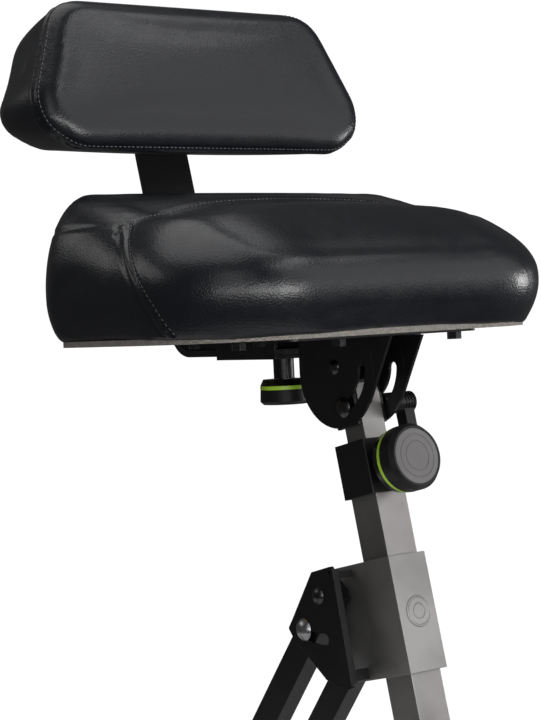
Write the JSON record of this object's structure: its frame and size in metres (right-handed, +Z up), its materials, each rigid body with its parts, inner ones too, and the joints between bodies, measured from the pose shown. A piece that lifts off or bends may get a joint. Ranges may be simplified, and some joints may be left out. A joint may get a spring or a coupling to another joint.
{
  "type": "drum throne",
  "caption": "Folding performer's stool with a saddle seat, a sliding backrest, a clamped height post, splayed rear legs and a footrest",
  "frame": {"origin": "centre of the bounding box in X and Y, on the floor", "axes": "+Z up, the sitter faces -Y, the tilt lever is on +X"},
  "size_m": [0.446, 0.5191, 0.8702],
  "materials": {
    "board_wood": "plywood, unfinished",
    "bolt_black": "black zinc",
    "collar_black": "fine textured dark grey coat",
    "cushion_skin": "pebbled black upholstery, semi-gloss",
    "face_grey": "matte grey disc",
    "pin_steel": "plain zinc",
    "plastic_black": "fine grained",
    "post_black": "smooth semi-gloss black coat",
    "powder_black": "satin black powder coat",
    "ring_green": "lime green",
    "rubber_black": "matte",
    "trim_grey": "woven edge strip"
  },
  "bodies": {
    "frame": {"main_tube": "powder_black", "tube_bush": "plastic_black", "height_sleeve": "powder_black", "sleeve_boss": "powder_black", "collar_block": "collar_black", "collar_badge": "collar_black", "hinge_cheek_left": "powder_black", "hinge_cheek_right": "powder_black", "hinge_wings": "powder_black", "hinge_pivot": "bolt_black", "front_floor_bar": "powder_black", "front_cap_left": "rubber_black", "front_cap_right": "rubber_black"},
    "legs": {"leg_left": "powder_black", "leg_right": "powder_black", "rear_floor_bar": "powder_black", "rear_cap_left": "rubber_black", "rear_cap_right": "rubber_black", "lock_pin": "pin_steel", "leg_brace": "powder_black"},
    "post": {"post_tube": "post_black", "post_glide": "plastic_black", "post_head": "powder_black", "post_cap": "plastic_black", "clamp_bolt": "bolt_black"},
    "seat": {"tilt_cheek_left": "powder_black", "tilt_cheek_right": "powder_black", "pivot_bolt": "bolt_black", "mount_plate": "powder_black", "bar_channel": "powder_black", "channel_boss": "powder_black", "seat_board": "board_wood", "seat_cushion": "cushion_skin", "seat_trim": "trim_grey", "seat_bolts": "bolt_black"},
    "backrest": {"back_bar": "powder_black", "back_board": "plastic_black", "back_cushion": "cushion_skin", "back_bolts": "bolt_black"},
    "height_clamp": {"height_knob": "plastic_black", "height_ring": "ring_green", "height_face": "face_grey", "height_screw": "bolt_black"},
    "slide_clamp": {"slide_knob": "plastic_black", "slide_ring": "ring_green", "slide_screw": "bolt_black"},
    "lever": {"tilt_lever": "powder_black", "lever_grip": "plastic_black"},
    "footrest": {"rest_sleeve": "powder_black", "rest_arms": "powder_black", "rest_bar": "powder_black", "rest_grip_left": "rubber_black", "rest_grip_right": "rubber_black"},
    "footrest_clamp": {"rest_knob": "plastic_black", "rest_ring": "ring_green", "rest_face": "face_grey", "rest_screw": "bolt_black"}
  },
  "joints": [
    {"name": "height_slide", "type": "slide", "parent": "frame", "child": "post", "axis": [0, 0.2957, 0.9553], "range_m": [0, 0.22]},
    {"name": "seat_tilt", "type": "hinge", "parent": "post", "child": "seat", "pos_m": [0, -0.07568, 0.52976], "axis": [1, 0, 0], "range_deg": [0, 42]},
    {"name": "backrest_slide", "type": "slide", "parent": "seat", "child": "backrest", "axis": [0, 0.9969, -0.0785], "range_m": [0, 0.05]},
    {"name": "leg_fold", "type": "hinge", "parent": "frame", "child": "legs", "pos_m": [0, -0.0908, 0.3245], "axis": [-1, 0, 0], "range_deg": [0, 45]},
    {"name": "height_knob_turn", "type": "hinge", "parent": "frame", "child": "height_clamp", "pos_m": [0, -0.1554, 0.45285], "axis": [0, -0.9553, 0.2957], "range_deg": [0, 360]},
    {"name": "slide_knob_turn", "type": "hinge", "parent": "seat", "child": "slide_clamp", "pos_m": [0, 0.02094, 0.49437], "axis": [0, -0.0785, -0.9969], "range_deg": [0, 360]},
    {"name": "tilt_lever_swing", "type": "hinge", "parent": "post", "child": "lever", "pos_m": [0.05, -0.08936, 0.49374], "axis": [-1, 0, 0], "range_deg": [0, 60]},
    {"name": "footrest_slide", "type": "slide", "parent": "frame", "child": "footrest", "axis": [0, 0.2957, 0.9553], "range_m": [-0.08, 0.03]},
    {"name": "footrest_knob_turn", "type": "hinge", "parent": "footrest", "child": "footrest_clamp", "pos_m": [0, -0.23637, 0.19129], "axis": [0, -0.9553, 0.2957], "range_deg": [0, 360]}
  ]
}
